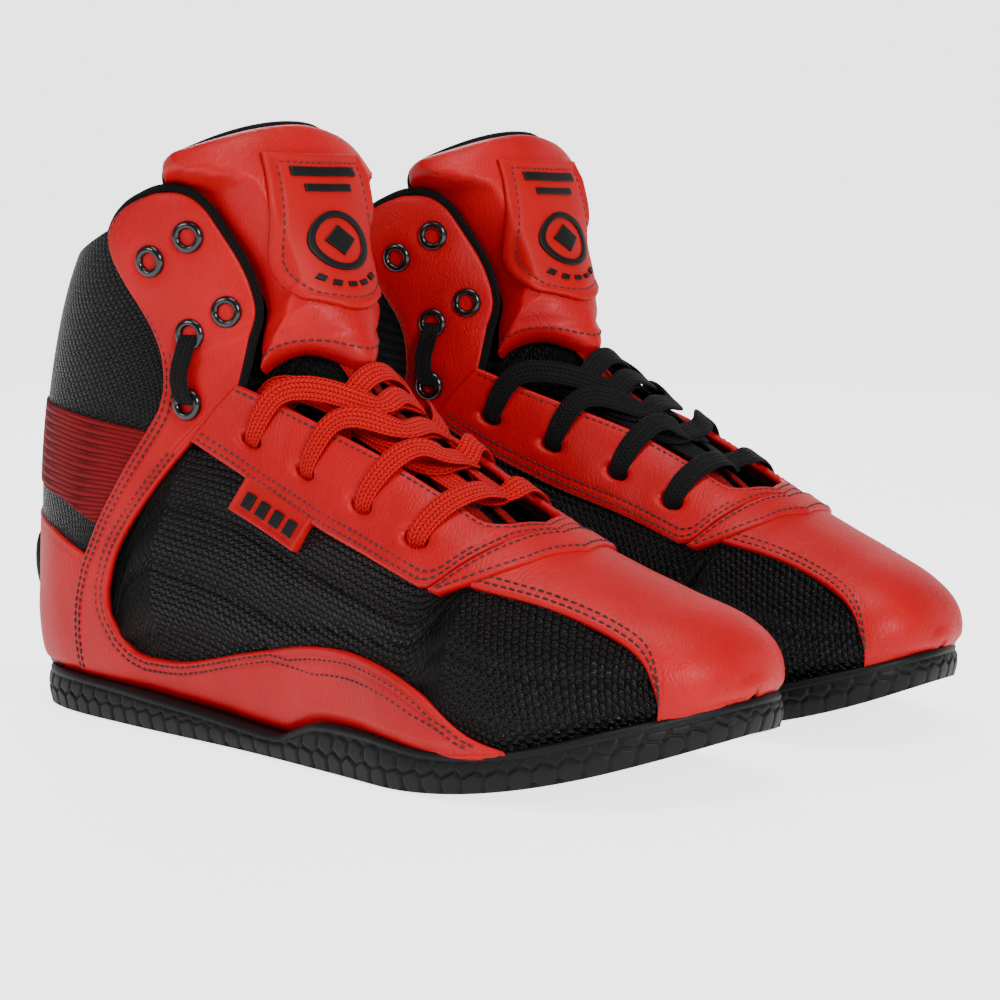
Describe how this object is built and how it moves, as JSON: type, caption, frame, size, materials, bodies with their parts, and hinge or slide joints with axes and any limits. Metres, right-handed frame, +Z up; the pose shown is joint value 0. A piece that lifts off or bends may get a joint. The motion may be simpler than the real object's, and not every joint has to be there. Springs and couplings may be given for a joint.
{
  "type": "pair of boxing boots",
  "caption": "Pair of mid-height boxing boots with mesh uppers, leather overlays, flat laces, padded fold-forward tongues and low rubber soles sprung up at the toes",
  "frame": {"origin": "centre of the pair's bounding box, at the floor", "axes": "+X towards the toes, +Y towards the left boot, +Z up"},
  "size_m": [0.307, 0.2362, 0.2071],
  "materials": {
    "red_leather": "smooth red synthetic leather with a fine wavy grain",
    "black_mesh": "open black woven mesh",
    "black_lining": "matte black textile lining",
    "black_rubber": "satin moulded rubber",
    "black_foam": "matte closed-cell foam",
    "fibre_board": "pressed fibre board",
    "red_elastic": "ribbed red elastic webbing",
    "red_rubber": "soft red moulded rubber",
    "eyelet_metal": "gloss black enamel",
    "red_braid": "flat red braid",
    "black_braid": "flat black braid"
  },
  "bodies": {
    "right_boot": {"right_outsole": "black_rubber", "right_midsole": "black_foam", "right_insole_board": "fibre_board", "right_sockliner": "black_foam", "right_heel_stiffener": "fibre_board", "right_vamp_lining_lateral": "black_lining", "right_vamp_lining_medial": "black_lining", "right_quarter_lining_lateral": "black_lining", "right_quarter_lining_medial": "black_lining", "right_collar_pad": "black_lining", "right_vamp_mesh": "black_mesh", "right_rear_mesh": "black_mesh", "right_quarter_lateral": "red_leather", "right_quarter_medial": "red_leather", "right_heel_counter": "red_leather", "right_ankle_strap": "red_elastic", "right_heel_tab": "black_rubber", "right_eyestay": "red_leather", "right_vamp_band": "red_leather", "right_toe_strip": "red_leather", "right_side_tag": "red_rubber", "right_tongue_cloth": "black_mesh", "right_eyelets_lateral": "eyelet_metal", "right_eyelets_medial": "eyelet_metal", "right_lace_main": "red_braid", "right_lace_top_lateral": "black_braid", "right_lace_top_medial": "black_braid"},
    "right_tongue_head": {"right_tongue_pad": "red_leather", "right_tongue_badge": "red_rubber"},
    "left_boot": {"left_outsole": "black_rubber", "left_midsole": "black_foam", "left_insole_board": "fibre_board", "left_sockliner": "black_foam", "left_heel_stiffener": "fibre_board", "left_vamp_lining_lateral": "black_lining", "left_vamp_lining_medial": "black_lining", "left_quarter_lining_lateral": "black_lining", "left_quarter_lining_medial": "black_lining", "left_collar_pad": "black_lining", "left_vamp_mesh": "black_mesh", "left_rear_mesh": "black_mesh", "left_quarter_lateral": "red_leather", "left_quarter_medial": "red_leather", "left_heel_counter": "red_leather", "left_ankle_strap": "red_elastic", "left_heel_tab": "black_rubber", "left_eyestay": "red_leather", "left_vamp_band": "red_leather", "left_toe_strip": "red_leather", "left_side_tag": "red_rubber", "left_tongue_cloth": "black_mesh", "left_eyelets_lateral": "eyelet_metal", "left_eyelets_medial": "eyelet_metal", "left_lace_main": "black_braid", "left_lace_top_lateral": "black_braid", "left_lace_top_medial": "black_braid"},
    "left_tongue_head": {"left_tongue_pad": "red_leather", "left_tongue_badge": "red_rubber"}
  },
  "joints": [
    {"name": "right_tongue_fold", "type": "hinge", "parent": "right_boot", "child": "right_tongue_head", "pos_m": [0.0001, -0.06264, 0.1316], "axis": [0.0209, 0.9998, 0], "range_deg": [0, 60], "stiffness_Nm_per_rad": 0.12},
    {"name": "left_tongue_fold", "type": "hinge", "parent": "left_boot", "child": "left_tongue_head", "pos_m": [0.0001, 0.06264, 0.1316], "axis": [-0.0209, 0.9998, 0], "range_deg": [0, 60], "stiffness_Nm_per_rad": 0.12},
    {"name": "boots_apart", "type": "slide", "parent": "right_boot", "child": "left_boot", "axis": [0, 1, 0], "range_m": [0, 0.15]}
  ]
}
